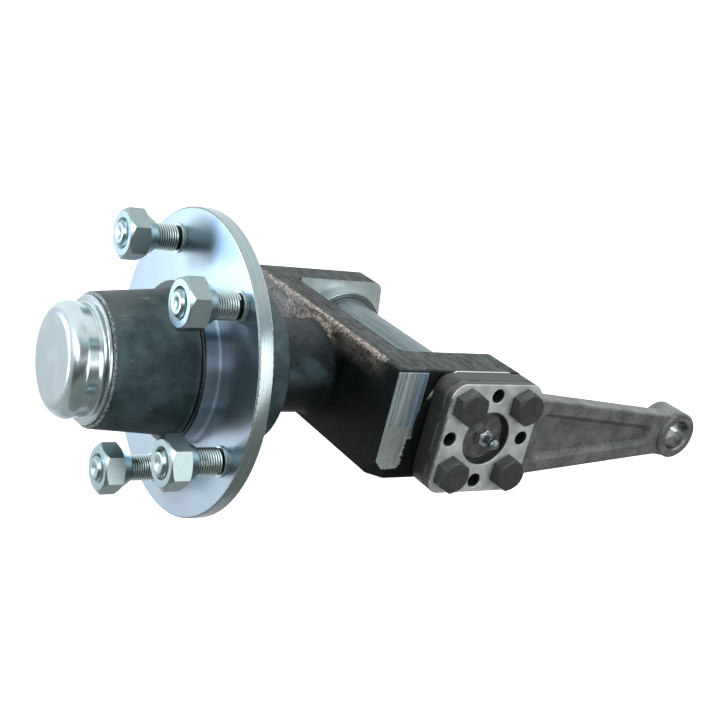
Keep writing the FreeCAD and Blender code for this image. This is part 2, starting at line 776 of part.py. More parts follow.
def hub_seal():
    """Shaft seal pressed into the hub's rear face, its lip on the spindle's land."""
    start = rear_face_y + seal_inset
    end = start + seal_width
    outer = inner_bearing["outer_r"]
    lip = seal_land_r + seal_lip_clearance
    return turned_on_y([
        (outer, start, 0.8), (outer, end, 0), (outer - seal_case_wall, end, 0),
        (outer - seal_case_wall, start + seal_case_wall, 0.5), (lip + 4, start + seal_case_wall, 1),
        (lip + 2.2, end - 0.8, 0.5), (lip, end - 1.6, 0.3), (lip, end - 1.6 - seal_lip_width, 0.3),
        (lip + 1.5, start, 0.3),
    ])


def wheel_stud():
    """Splined stud pressed in from behind the flange, with its thread towards the wheel."""
    return turned_on_y([
        (0, flange_back_y - stud_head_thick, 0), (stud_head_r, flange_back_y - stud_head_thick, 1.0),
        (stud_head_r, flange_back_y, 0), (stud_press_r, flange_back_y, 0), (stud_press_r, flange_face_y, 0),
        (stud_r, flange_face_y, 0), (stud_r, nut_seat_y - stud_relief, 0),
        (stud_root_r, nut_seat_y - stud_relief, 0), (stud_root_r, stud_tip_y - stud_chamfer, 0),
        (stud_root_r - stud_chamfer, stud_tip_y, 0), (0, stud_tip_y, 0),
    ])


def wheel_nut():
    """Hexagon wheel nut with a conical seat towards the flange."""
    hex_start = nut_seat_y + nut_seat_length
    hex_end = hex_start + nut_hex_length
    corner_r = nut_flats / math.sqrt(3)
    prism = slab(hexagon(nut_flats), on_xz(hex_start), Vector(0, nut_hex_length, 0))
    limit = turned_on_y([
        (0, hex_start, 0), (nut_flats / 2 - 0.4, hex_start, 0), (corner_r + 0.5, hex_start + 1.4, 0),
        (corner_r + 0.5, hex_end - nut_front_chamfer, 0), (nut_flats / 2 - 0.8, hex_end, 0), (0, hex_end, 0),
    ])
    seat = turned_on_y([
        (0, nut_seat_y, 0), (nut_seat_small_r, nut_seat_y, 0.4), (nut_seat_large_r, hex_start, 0), (0, hex_start, 0),
    ])
    bore = rod_y(stud_root_r, nut_seat_y - 1, hex_end + 1)
    mouth = Part.makeCone(
        stud_root_r + nut_mouth, stud_root_r, nut_mouth, Vector(0, hex_end, 0), Vector(0, -1, 0))
    return prism.common(limit).fuse(seat).cut([bore, mouth]).removeSplitter()


def hub_cap():
    """Pressed steel grease cap, a bead round its closed end and a skirt in the hub's nose."""
    skirt_start = nose_end_y - cap_skirt_length
    rim_end = nose_end_y + cap_rim_thick
    inside = [
        (0, cap_face_y - cap_wall, 0),
        (cap_bead_r - cap_wall - 1.5, cap_face_y - cap_wall, cap_face_corner - cap_wall),
        (cap_bead_r - cap_wall, cap_bead_y, 3.0), (cap_neck_r - cap_wall, cap_bead_y - cap_neck_before_bead, 3.0),
        (cap_neck_r - cap_wall, skirt_start, 0),
    ]
    outside = [
        (cap_skirt_r, skirt_start, 0.3), (cap_skirt_r, nose_end_y, 0), (cap_rim_r, nose_end_y, 0.6),
        (cap_rim_r, rim_end, 1.0), (cap_neck_r, rim_end + 0.6, 1.5),
        (cap_neck_r, cap_bead_y - cap_neck_before_bead, 3.0), (cap_bead_r, cap_bead_y, 3.0),
        (cap_bead_r - 1.5, cap_face_y, cap_face_corner), (0, cap_face_y, 0),
    ]
    return turned_on_y(inside + outside)


def taper_bearing(name, sizes, back_y, outward):
    """Cone, cup, cage and rollers of one bearing, from its cone's back face at back_y."""
    race = math.radians(race_angle)
    taper = math.radians(roller_half_angle)
    axis_angle = race - taper
    cone_angle = race - 2 * taper
    width = sizes["width"]
    apex = width + sizes["small_race_r"] / math.tan(race)
    end_tilt = apex * math.tan(taper) * math.sin(axis_angle)
    roller_start = large_rib + roller_rib_gap + end_tilt
    roller_end = roller_start + sizes["roller_length"] * math.cos(axis_angle)

    def race_r(at):
        return (apex - at) * math.tan(race)

    def cone_r(at):
        return (apex - at) * math.tan(cone_angle)

    def axis_r(at):
        return (apex - at) * math.tan(axis_angle)

    rib_r = cone_r(large_rib) + (race_r(large_rib) - cone_r(large_rib)) * rib_height_share
    small_rib_at = roller_end + 0.3
    cone_width = sizes["cone_width"]
    bore_r = sizes["bore_r"]
    cone = turned_on_y([
        (bore_r, 0, 0.8), (rib_r, 0, 0.6), (rib_r, large_rib, 0.3), (cone_r(large_rib), large_rib, 0),
        (cone_r(small_rib_at), small_rib_at, 0), (cone_r(small_rib_at) + small_rib_height, small_rib_at, 0),
        (cone_r(cone_width) + small_rib_height, cone_width, 0), (bore_r, cone_width, 0.8),
    ])
    cup_start = width - sizes["cup_width"]
    outer_r = sizes["outer_r"]
    cup = turned_on_y([
        (race_r(cup_start), cup_start, 0), (outer_r, cup_start, 0.6), (outer_r, width, 1.0),
        (race_r(width), width, 0.6),
    ])
    slant = (apex - roller_start) / math.cos(axis_angle)
    large_r = slant * math.tan(taper) - roller_clearance
    small_r = (slant - sizes["roller_length"]) * math.tan(taper) - roller_clearance
    along = Vector(-math.sin(axis_angle), math.cos(axis_angle), 0)
    start_point = Vector(axis_r(roller_start), roller_start, 0)
    roller = Part.makeCone(large_r, small_r, sizes["roller_length"], start_point, along)
    gap = cage_pocket_gap
    pocket_cone = Part.makeCone(
        large_r + gap, small_r + gap, sizes["roller_length"] + 2 * gap, start_point - along * gap, along)
    cage_start = roller_start - 1.2
    cage_end = roller_end + 1.2
    cage = turned_on_y([
        (axis_r(cage_start) + cage_lift, cage_start, 0),
        (axis_r(cage_start) + cage_lift + cage_thick, cage_start, 0),
        (axis_r(cage_end) + cage_lift + cage_thick, cage_end, 0),
        (axis_r(cage_end) + cage_lift, cage_end, 0),
    ])
    rollers = []
    pockets = []
    for step in range(roller_count):
        angle = 360.0 * step / roller_count
        for source, kept in ((roller, rollers), (pocket_cone, pockets)):
            turned = source.copy()
            turned.rotate(Vector(0, 0, 0), Vector(0, 1, 0), angle)
            kept.append(turned)
    pieces = {
        name + "_bearing_cone": cone,
        name + "_bearing_cup": cup,
        name + "_bearing_cage": cage.cut(pockets),
        name + "_bearing_rollers": Part.makeCompound(rollers),
    }
    placed = {}
    for node, shape in pieces.items():
        moved = shape.copy()
        if not outward:
            moved.rotate(Vector(0, 0, 0), Vector(1, 0, 0), 180)
        moved.translate(Vector(0, back_y, 0))
        placed[node] = moved
    return placed


def spindle_washer():
    """Plain washer between the outer bearing and the castle nut."""
    return sleeve_y(
        spindle_washer_r, spindle_thread_r + spindle_washer_clearance,
        outer_bearing_y, outer_bearing_y + spindle_washer_thick)


def castle_nut():
    """Slotted nut that sets the bearings."""
    start = outer_bearing_y + spindle_washer_thick
    hex_end = start + castle_hex_length
    crown_end = hex_end + castle_crown_length
    corner_r = castle_flats / math.sqrt(3)
    prism = slab(hexagon(castle_flats), on_xz(start), Vector(0, castle_hex_length, 0))
    limit = turned_on_y([
        (0, start, 0), (corner_r - 0.8, start, 0), (corner_r + 0.5, start + 1.2, 0),
        (corner_r + 0.5, hex_end - 1.5, 0), (castle_flats / 2 - 1, hex_end, 0), (0, hex_end, 0),
    ])
    crown = rod_y(castle_crown_r, hex_end, crown_end)
    cuts = [rod_y(spindle_thread_r, start - 1, crown_end + 1)]
    slot_start = spindle_pin_y - castle_slot / 2
    for step in range(castle_slots // 2):
        slot = Part.makeBox(
            2 * castle_crown_r + 2, crown_end - slot_start + 1, castle_slot,
            Vector(-castle_crown_r - 1, slot_start, -castle_slot / 2))
        slot.rotate(Vector(0, 0, 0), Vector(0, 1, 0), 360.0 / castle_slots * step)
        cuts.append(slot)
    return prism.common(limit).fuse(crown).cut(cuts).removeSplitter()


def split_pin():
    """Split pin through the spindle's end, its legs turned over the nut's crown."""
    radius = split_pin_r
    ring_r = 1.5 * radius
    wire_r = 0.8 * radius
    reach = castle_crown_r + 0.3
    eye_x = -(reach + ring_r + wire_r)
    eye = Part.makeTorus(ring_r, wire_r, Vector(eye_x, spindle_pin_y, 0), Vector(0, 1, 0))
    shank = Part.makeCylinder(
        radius, reach + radius - eye_x - ring_r, Vector(eye_x + ring_r, spindle_pin_y, 0), Vector(1, 0, 0))
    legs = rod_z(radius, -split_pin_leg, split_pin_leg, reach + radius, spindle_pin_y)
    return shank.fuse([eye, legs]).removeSplitter()


def build():
    """Every piece of the stub axle by its node name."""
    pieces = {
        "knuckle": knuckle(),
        "kingpin": kingpin(),
        "kingpin_lock_pin": lock_pin(),
        "kingpin_plug": kingpin_plug(),
        "pivot_tube": pivot_tube(),
        "upper_bush": bush(tube_top_z - bush_length),
        "lower_bush": bush(tube_bottom_z),
        "upper_thrust_washer": top_washer(),
        "steering_arm": steering_arm(),
        "cap_plate": cap_plate(),
        "grease_nipple": grease_nipple(),
        "hub": hub(),
        "hub_seal": hub_seal(),
        "hub_cap": hub_cap(),
        "spindle_washer": spindle_washer(),
        "castle_nut": castle_nut(),
        "split_pin": split_pin(),
    }
    pieces.update(thrust_bearing())
    pieces.update(taper_bearing("inner", inner_bearing, inner_bearing_y, True))
    pieces.update(taper_bearing("outer", outer_bearing, outer_bearing_y, False))
    for number, (x, y) in enumerate(bolt_places(), 1):
        pieces["arm_bolt_%d" % number] = arm_bolt(x, y)
    stud = wheel_stud()
    nut = wheel_nut()
    for number, angle in enumerate(stud_angles(), 1):
        turned_nut = nut.copy()
        turned_nut.rotate(Vector(0, 0, 0), Vector(0, 1, 0), angle - nut_corner_angles[number - 1])
        pieces["wheel_stud_%d" % number] = at_stud(stud, angle)
        pieces["wheel_nut_%d" % number] = at_stud(turned_nut, angle)
    return pieces


os.makedirs("parts", exist_ok=True)
for node, shape in build().items():
    solids = len(shape.Solids)
    if not shape.isValid() or solids < 1:
        raise ValueError("%s is not a sound solid" % node)
    shape.exportStep("parts/%s.step" % node)
    print("%-22s %2d solid(s) %9.1f mm3" % (node, solids, sum(s.Volume for s in shape.Solids)))
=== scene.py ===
# %% [markdown]
# # A steering stub axle on a pale studio floor
# A trailer's stub axle turns on a kingpin and carries a wheel hub. The metal was drawn and packed as a CAD
# model, which is loaded here as a fixed frame. This lesson gives it what a photograph shows and a drawing
# does not: threads, soft edges, castings, forgings, zinc plating, oil, rust and light.

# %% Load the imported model
import json
import math

import bpy
from mathutils import Matrix, Vector


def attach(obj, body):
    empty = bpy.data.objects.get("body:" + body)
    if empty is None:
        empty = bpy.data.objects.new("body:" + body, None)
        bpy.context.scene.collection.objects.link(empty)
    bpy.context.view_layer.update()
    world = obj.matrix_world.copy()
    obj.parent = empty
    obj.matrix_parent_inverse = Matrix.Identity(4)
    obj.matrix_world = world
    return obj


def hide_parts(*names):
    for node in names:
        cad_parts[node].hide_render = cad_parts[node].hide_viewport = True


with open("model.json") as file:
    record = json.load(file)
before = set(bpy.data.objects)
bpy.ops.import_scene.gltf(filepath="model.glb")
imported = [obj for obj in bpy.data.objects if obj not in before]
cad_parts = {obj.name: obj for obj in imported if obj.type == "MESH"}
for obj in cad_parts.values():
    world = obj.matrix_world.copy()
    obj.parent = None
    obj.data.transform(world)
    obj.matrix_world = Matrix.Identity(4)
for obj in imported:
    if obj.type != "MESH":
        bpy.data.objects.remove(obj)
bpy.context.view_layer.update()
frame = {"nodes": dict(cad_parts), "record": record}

MM = 0.001
MERGE_GAP = 0.002 * MM
FLANGE_FACE = 147.5
STUD_CIRCLE = 73.0
STUD_FIRST = 331.15
STUD_STEP = 72.0
ARM_EYE = (-2.0, -168.3)
FLOOR_LEVEL = -0.62
nodes = frame["nodes"]

# %% [markdown]
# ## The camera
# The photograph looks down on the hub from the wheel's side, with the kingpin leaning towards the lens. The
# camera's place was worked out from the bolt square, the stud circle and the cap. Writing its three axes as the
# columns of a matrix is the plainest way to aim a camera that also leans over.

# %% Place the camera
def aimed(place, right, up):
    """A camera matrix from its place and the directions of its right and its up."""
    right = right.normalized()
    up = (up - right * up.dot(right)).normalized()
    aim = Matrix((right, up, right.cross(up))).transposed()
    return Matrix.Translation(place) @ aim.to_4x4()


camera_data = bpy.data.cameras.new("camera")
camera_data.lens = 60.85
camera_data.sensor_width = 36.0
camera_data.clip_start = 0.01
camera_data.clip_end = 20.0
camera = bpy.data.objects.new("camera", camera_data)
bpy.context.scene.collection.objects.link(camera)
camera.matrix_world = aimed(
    Vector((243.19, 467.37, 595.22)) * MM,
    Vector((0.23837, -0.82036, 0.51980)),
    Vector((0.92111, 0.02135, -0.38871)),
)
bpy.context.scene.camera = camera
print("camera", [round(value, 3) for value in camera.location], "lens", camera_data.lens)

# %% [markdown]
# ## The studio
# The object is metal, so what it mirrors matters as much as the lamps. In the photograph +X is up: a long soft
# lamp hangs there and is kept out of mirrors, because it would blow out the nuts' facets. One lamp stands beyond
# the hub and one before the kingpin's end. Three small ones give glints: a bluish one and a paler one low before
# the flange, and one like a window beyond the arm. The room is not one grey. Its light changes with direction,
# dark towards the object's underside and bright above with a bluish band between, and slow noise breaks it up.
# Turned and plated faces pick their streaks from it.

# %% Light the room
def softbox(name, place, target, width, height, power, tint=(1.0, 1.0, 1.0)):
    """A rectangular area lamp that looks at a point."""
    lamp_data = bpy.data.lights.new(name, "AREA")
    lamp_data.shape = "RECTANGLE"
    lamp_data.size = width
    lamp_data.size_y = height
    lamp_data.energy = power
    lamp_data.color = tint
    lamp = bpy.data.objects.new(name, lamp_data)
    bpy.context.scene.collection.objects.link(lamp)
    place = Vector(place)
    aim = (Vector(target) - place).to_track_quat("-Z", "Y").to_matrix().to_4x4()
    lamp.matrix_world = Matrix.Translation(place) @ aim
    return lamp


lamp_above = softbox("lamp_above", (1.45, -0.1, 0.1), (0, 0.03, 0), 2.0, 0.9, 24.0)
lamp_above.visible_glossy = False
softbox("lamp_hub", (0.5, 1.5, 0.2), (0, 0.05, 0), 0.5, 0.9, 9.0, (0.93, 0.97, 1.0))
softbox("lamp_front", (0.3, -0.35, 1.6), (0, 0.0, 0), 1.0, 1.4, 10.0)
softbox("lamp_low", (-0.03, 0.74, -0.55), (0, 0.147, 0), 0.16, 0.16, 3.6, (0.52, 0.70, 1.0))
softbox("lamp_glint", (-0.225, 0.795, -0.57), (0, 0.147, 0), 0.1, 0.1, 1.6, (0.80, 0.93, 1.0))
softbox("lamp_window", (0.64, -0.49, 1.02), (0.06, 0.147, 0.06), 0.22, 0.5, 0.8, (0.86, 0.95, 1.0))
print("six soft lamps")

# %% [markdown]
# ## A pencil for shader maths
# A finish is a sum of masks. Written out as nodes it is hard to read, so a small class wraps a socket and lets
# masks be added, multiplied and compared as numbers are.

# %% Wrap sockets
def set_up(made, settings):
    """Gives a node its settings. The stops of a ramp are pairs of a place and a colour."""
    for name, value in settings.items():
        if name != "stops":
            setattr(made, name, value)
            continue
        elements = made.color_ramp.elements
        while len(elements) < len(value):
            elements.new(0.5)
        for element, (place, color) in zip(elements, value):
            element.position = place
            element.color = (*color, 1.0)


class Tone:
    """A number that varies over a surface, ready for plain arithmetic."""

    def __init__(self, finish, socket):
        self.finish = finish
        self.socket = socket

    def math(self, operation, *values):
        return self.finish.node("ShaderNodeMath", {"operation": operation}, list(values))

    def __add__(self, other):
        return self.math("ADD", self, other)

    __radd__ = __add__

    def __mul__(self, other):
        return self.math("MULTIPLY", self, other)

    __rmul__ = __mul__

    def __sub__(self, other):
        return self.math("SUBTRACT", self, other)

    def __rsub__(self, other):
        return self.math("SUBTRACT", other, self)

    def __truediv__(self, other):
        return self.math("DIVIDE", self, other)

    def __pow__(self, other):
        return self.math("POWER", self, other)

    def step(self, low, high):
        """Rises smoothly from 0 at low to 1 at high, or falls where low is the larger."""
        settings = {"interpolation_type": "SMOOTHSTEP", "clamp": True}
        if low < high:
            return self.finish.node("ShaderNodeMapRange", settings, [self, low, high, 0.0, 1.0])
        return self.finish.node("ShaderNodeMapRange", settings, [self, high, low, 1.0, 0.0])

    def larger(self, other):
        return self.math("MAXIMUM", self, other)

    def smaller(self, other):
        return self.math("MINIMUM", self, other)


class Finish:
    """One material: its node tree, and its surface measured in millimetres."""

    def __init__(self, name):
        self.material = bpy.data.materials.new(name)
        self.material.use_nodes = True
        self.tree = self.material.node_tree
        self.tree.nodes.clear()
        coords = self.node("ShaderNodeTexCoord", {}, [], "Object")
        self.mm = self.node("ShaderNodeVectorMath", {"operation": "SCALE"}, {"Vector": coords, "Scale": 1000.0})
        self.x = self.node("ShaderNodeSeparateXYZ", {}, [self.mm], "X")
        self.y = self.node("ShaderNodeSeparateXYZ", {}, [self.mm], "Y")
        self.z = self.node("ShaderNodeSeparateXYZ", {}, [self.mm], "Z")
        self.radius = (self.x * self.x + self.z * self.z) ** 0.5
        self.pin_radius = (self.x * self.x + self.y * self.y) ** 0.5

    def node(self, kind, settings, values, output=0):
        """Adds a node: its settings first, then what its sockets hold or are linked to."""
        made = self.tree.nodes.new(kind)
        set_up(made, settings)
        pairs = values.items() if isinstance(values, dict) else enumerate(values)
        for key, value in pairs:
            if isinstance(value, Tone):
                self.tree.links.new(value.socket, made.inputs[key])
            else:
                made.inputs[key].default_value = value
        return Tone(self, made.outputs[output])

    def facing(self, axis):
        """How far the surface faces along X, Y or Z, from -1 to 1, as the CAD model stands."""
        normal = self.node("ShaderNodeTexCoord", {}, [], "Normal")
        return self.node("ShaderNodeSeparateXYZ", {}, [normal], axis)

    def noise(self, size, detail=3.0, roughness=0.5, stretch=(1.0, 1.0, 1.0), distortion=0.0):
        """Cloudy noise whose patches are about size millimetres across, longer where stretch is more."""
        scale = tuple(1.0 / (size * amount) for amount in stretch)
        place = self.node("ShaderNodeVectorMath", {"operation": "MULTIPLY"}, [self.mm, scale])
        return self.node(
            "ShaderNodeTexNoise", {},
            {"Vector": place, "Scale": 1.0, "Detail": detail, "Roughness": roughness, "Distortion": distortion})

    def rings(self, radius, pitch):
        """Uneven turning marks: noise that depends on the distance from an axis only."""
        along = self.node("ShaderNodeCombineXYZ", {}, [radius / pitch, 0.0, 0.0])
        return self.node(
            "ShaderNodeTexNoise", {}, {"Vector": along, "Scale": 1.0, "Detail": 2.0, "Roughness": 0.6})

    def mix(self, share, first, second):
        """One colour over another, by a mask."""
        mixed = self.node("ShaderNodeMix", {"data_type": "RGBA"}, {}, 2)
        for key, value in ((0, share), (6, first), (7, second)):
            socket = mixed.socket.node.inputs[key]
            if isinstance(value, Tone):
                self.tree.links.new(value.socket, socket)
            elif key:
                socket.default_value = (*value, 1.0)
            else:
                socket.default_value = value
        return mixed

    def bump(self, height, depth):
        """Turns a height from 0 to 1 into a surface relief of depth millimetres."""
        return self.node("ShaderNodeBump", {}, {"Height": height, "Distance": depth * MM, "Strength": 1.0})

    def surface(self, **values):
        """Closes the material with a Principled shader, whose sockets are named in words."""
        names = {
            "color": "Base Color", "metallic": "Metallic", "roughness": "Roughness", "normal": "Normal",
            "specular": "Specular IOR Level",
        }
        sockets = {}
        for key, value in values.items():
            sockets[names[key]] = (*value, 1.0) if key == "color" and not isinstance(value, Tone) else value
        self.close(self.node("ShaderNodeBsdfPrincipled", {}, sockets))
        return self.material

    def close(self, shader):
        """Joins the last shader to the material's output."""
        output = self.tree.nodes.new("ShaderNodeOutputMaterial")
        self.tree.links.new(shader.socket, output.inputs["Surface"])


print("shader pencil ready")

# %% [markdown]
# ## Forged knuckle
# The yoke is drop forged and left with its black scale and a film of oil, so it is almost black and only softly
# shiny. Handling has rubbed the scale off the web's long edge, where it has begun to rust. The far arm's inner
# face and the flat beside the plate were milled, and the cutter left strokes along X. Each of these is a mask
# from the surface's place and facing, because that is where the tool or the wear reached.

# %% Knuckle finish
def knuckle_forging():
    f = Finish("knuckle_forging")
    cloud = f.noise(24.0, 4.0, 0.6)
    grain = f.noise(1.7, 4.0, 0.7)
    fleck = f.noise(1.7, 3.0, 0.7)
    color = f.mix(cloud.step(0.36, 0.7), (0.0025, 0.0040, 0.0042), (0.011, 0.015, 0.0155))
    color = f.mix(fleck.step(0.64, 0.74) * 0.35, color, (0.10, 0.12, 0.12))
    # Faces turned to +X are painted paler and streaky: painted light on the upper side, over streaks of the
    # forging's own.
    side = f.facing("X").step(0.55, 0.9)
    streak = f.noise(3.6, 5.0, 0.7, (1.0, 1.0, 3.0))
    lit_flank = f.mix(streak.step(0.3, 0.75), (0.006, 0.009, 0.009), (0.080, 0.092, 0.089))
    color = f.mix(side, color, lit_flank)
    web = f.facing("Y").step(0.4, 0.85) * f.y.step(57.0, 59.5)
    # A lighter, streaked grey-brown patch on the web's lower face is painted light standing in for a lit facet.
    lit_facet = f.z.step(-13.0, -20.0) * web * f.x.step(-6.0, 8.0)
    color = f.mix(lit_facet, color, f.mix(streak.step(0.35, 0.7), (0.12, 0.112, 0.098), (0.33, 0.30, 0.255)))
    from_edge = ((f.x - 33.6) ** 2.0 + (f.y - 59.0) ** 2.0) ** 0.5
    edge = from_edge.step(5.0, 0.5) * f.z.step(84.0, 66.0) * (0.72 + f.z.step(-75.0, -30.0) * 0.28)
    scuffed = f.facing("Y").step(0.2, 0.6) * f.y.step(57.0, 59.5)
    patch = f.x.step(12.0, 26.0) * scuffed * f.z.step(30.0, 12.0) * f.z.step(-52.0, -38.0)
    worn = (edge + patch * 0.8 + fleck * 0.9 - 0.45).step(0.5, 1.0) * (edge + patch).step(0.08, 0.35)
    haze = from_edge.step(17.0, 2.0) * f.z.step(80.0, 60.0) * f.x.step(10.0, 24.0)
    color = f.mix(haze * streak.step(0.25, 0.6) * 0.8 * web, color, (0.24, 0.22, 0.19))
    tone = f.mix(fleck.step(0.40, 0.66), (0.18, 0.160, 0.135), (0.58, 0.52, 0.45))
    color = f.mix(worn * 0.85, color, tone)
    pits = grain.step(0.50, 0.37)
    color = f.mix(pits * (0.55 - worn * 0.3), color, (0.003, 0.004, 0.004))
    boss = f.y.step(60.5, 64.0)
    color = f.mix(boss * (0.7 - pits * 0.25) * (1.0 - patch), color, (0.024, 0.031, 0.033))
    sheen = boss * f.facing("X").step(-0.2, 0.2) * f.facing("X").step(0.7, 0.3) * f.facing("Z").step(0.2, 0.7)
    color = f.mix(sheen * cloud.step(0.4, 0.6) * 0.7, color, (0.075, 0.115, 0.125))
    up = f.facing("Z").step(0.9, 0.97)
    ragged = f.noise(3.0, 4.0, 0.7)
    flat = up * f.z.step(87.2, 87.8) * f.z.step(88.6, 88.2) * f.y.step(38.6, 39.4)
    flat = flat * (f.x + ragged * 6.0).step(-24.8, -23.2)
    shade = f.x.step(-7.0, -9.0) * (f.y + ragged * 5.0).step(46.5, 44.5)
    flat = flat * (1.0 - shade)
    strokes = f.noise(0.9, 2.0, 0.6, (60.0, 1.0, 60.0))
    blue = f.y.step(46.0, 43.0) * f.x.step(-2.0, 1.0)
    milled = f.mix(strokes.step(0.3, 0.7), (0.24, 0.30, 0.315), (0.66, 0.76, 0.79))
    milled = f.mix(blue * strokes.step(0.2, 0.6), milled, (0.34, 0.50, 0.72))
    lower = f.mix(grain.step(0.35, 0.6), (0.42, 0.475, 0.46), (0.53, 0.59, 0.57))
    milled = f.mix(f.x.step(-0.4, -1.6), milled, lower)
    color = f.mix(flat, color, milled)
    inner = up * f.z.step(-72.0, -70.0) * f.z.step(-66.0, -68.0)
    machined = inner * f.y.step(37.0, 33.0)
    color = f.mix(machined, color, f.mix(cloud.step(0.35, 0.65), (0.66, 0.75, 0.745), (0.88, 0.95, 0.945)))
    # The seat band is machined metal painted bright on its +X side only, so there it is partly a painted
    # highlight.
    seat = f.z.step(88.1, 88.3) * f.x.step(16.0, 24.0)
    color = f.mix(seat, color, (0.72, 0.74, 0.73))
    bright = flat.larger(machined).larger(seat)
    journal = f.y.step(97.0, 97.6)
    color = f.mix(journal, color, (0.50, 0.51, 0.51))
    bright = bright.larger(journal)
    roughness = 0.40 + cloud * 0.16 + worn * 0.2 - bright * 0.14
    normal = f.bump(grain + bright * (strokes * 0.3 - grain), 0.75)
    return f.surface(color=color, metallic=bright * 0.85, roughness=roughness, normal=normal, specular=0.10)


# %% [markdown]
# ## Hub casting
# The hub is cast iron. Its barrels keep the dark foundry skin with small pits and handling scratches, while the
# flange and the spigot were turned on a lathe. Turning leaves fine rings, and rings spread a reflection into
# fans that run through the centre, so the turned faces get ring relief and no painted streaks. The spigot's mask
# begins at the flange's face and takes that face in as well, so both are one even pale blue with finer relief.

# %% Hub finish
def hub_casting():
    f = Finish("hub_casting")
    cloud = f.noise(16.0, 4.0, 0.6)
    grain = f.noise(1.1, 4.0, 0.65)
    fleck = f.noise(1.3, 3.0, 0.7)
    scratch = f.noise(1.5, 2.0, 0.5, (1.0, 9.0, 1.0), 0.6)
    cast = f.mix(cloud.step(0.34, 0.72), (0.012, 0.029, 0.033), (0.044, 0.082, 0.089))
    # Faces turned to +X are painted a lighter warm grey in patches: a painted highlight along the barrels' tops.
    cast = f.mix(f.facing("X").step(0.70, 0.98) * cloud.step(0.3, 0.6) * 0.7, cast, (0.050, 0.052, 0.046))
    lip = f.facing("Y").step(0.3, 0.7) * f.y.step(203.0, 203.6)
    cast = f.mix(lip, cast, f.mix(fleck.step(0.4, 0.6), (0.05, 0.055, 0.055), (0.30, 0.32, 0.315)))
    cast = f.mix(fleck.step(0.60, 0.70) * 0.5, cast, (0.10, 0.14, 0.145))
    cast = f.mix(scratch.step(0.69, 0.74) * 0.5, cast, (0.26, 0.28, 0.27))
    spigot = f.y.step(FLANGE_FACE - 0.3, FLANGE_FACE) * f.y.step(157.9, 157.6) * f.radius.step(43.6, 44.0)
    turned = f.radius.step(48.4, 48.9).larger(spigot)
    marks = f.rings(f.radius + f.y * 0.3, 0.55)
    bands = f.rings(f.radius, 5.0)
    bright = f.mix(marks.step(0.3, 0.7), (0.105, 0.120, 0.128), (0.215, 0.235, 0.245))
    bright = f.mix(bands.step(0.4, 0.7) * 0.35, bright, (0.115, 0.145, 0.20))
    stain = f.noise(22.0, 4.0, 0.6, (1.0, 1.0, 1.0), 1.5)
    bright = f.mix(stain.step(0.50, 0.70) * 0.6, bright, (0.15, 0.135, 0.115))
    rim = f.radius.step(84.0, 85.0) * f.facing("Y").step(0.95, 0.6) * f.facing("Y").step(-0.95, -0.6)
    rim_tone = f.mix(f.rings(f.y, 0.7).step(0.3, 0.7), (0.32, 0.39, 0.40), (0.41, 0.49, 0.50))
    bright = f.mix(rim, bright, rim_tone)
    bright = f.mix(spigot, bright, (0.42, 0.50, 0.58))
    front = spigot * f.y.step(155.6, 156.0)
    bright = f.mix(front, bright, (0.07, 0.08, 0.085))
    # A thin bright ring at the spigot's root is a painted highlight along the fillet.
    root_highlight = f.radius.step(49.3, 48.7) * f.y.step(147.9, 147.5)
    bright = f.mix(root_highlight, bright, (0.75, 0.80, 0.84))
    color = f.mix(turned, cast, bright)
    corner = f.radius.step(87.4, 88.2).larger(spigot)
    relief = grain * (1.0 - turned) * 0.50 + marks * turned * (0.17 - corner * 0.155)
    edge = rim * f.facing("Y").step(0.2, 0.5)
    roughness = 0.44 - turned * 0.22 + cloud * 0.08 + edge * 0.3
    return f.surface(
        color=color, metallic=turned, roughness=roughness, normal=f.bump(relief, 1.0), specular=0.35)


# %% [markdown]
# ## Steering arm, cap plate and bolts
# The arm is forged and shot blasted, so it is grey with a warm bloom, and its eye is bored bright. Its head's
# top edge is paler where rubbed, partly a painted highlight, and the rounded corners of head and plate have a
# painted brown highlight. The cap plate was ground on its face only and keeps its dark sides. The bolts are
# oil-blacked.

# %% Arm, plate and bolt finishes
def arm_forging():
    f = Finish("arm_forging")
    cloud = f.noise(11.0, 4.0, 0.6)
    grain = f.noise(1.2, 4.0, 0.6)
    color = f.mix(cloud.step(0.3, 0.7), (0.095, 0.104, 0.098), (0.185, 0.192, 0.180))
    color = f.mix(f.noise(2.1, 3.0, 0.7).step(0.58, 0.70) * 0.5, color, (0.30, 0.30, 0.275))
    color = f.mix(grain.step(0.48, 0.36) * 0.5, color, (0.03, 0.032, 0.03))
    from_eye = ((f.x - ARM_EYE[0]) ** 2.0 + (f.y - ARM_EYE[1]) ** 2.0) ** 0.5
    head = f.y.step(-36.5, -33.0)
    color = f.mix(head, color, f.mix(cloud, (0.014, 0.016, 0.016), (0.036, 0.038, 0.036)))
    # The head's rounded corner gets a warm brown colour: a painted highlight.
    corner = head * f.x.step(24.0, 33.0) * f.y.step(24.0, 33.0)
    color = f.mix(corner * cloud.step(0.4, 0.7) * 0.3, color, (0.16, 0.135, 0.115))
    # A paler line along the top edge of the head: a rubbed edge that is partly a painted highlight.
    rubbed_highlight = head * f.z.step(100.8, 101.6) * cloud.step(0.35, 0.55)
    color = f.mix(rubbed_highlight * 0.7, color, (0.17, 0.175, 0.17))
    bore = from_eye.step(11.0, 10.3) * f.y.step(-120.0, -130.0)
    color = f.mix(bore, color, f.mix(cloud.step(0.4, 0.6), (0.16, 0.16, 0.155), (0.42, 0.42, 0.41)))
    roughness = 0.47 + cloud * 0.1 - bore * 0.22 - head * 0.08
    relief = f.bump(grain * (1.0 - bore * 0.9), 0.50)
    return f.surface(color=color, metallic=0.35 + bore * 0.65, roughness=roughness, normal=relief)


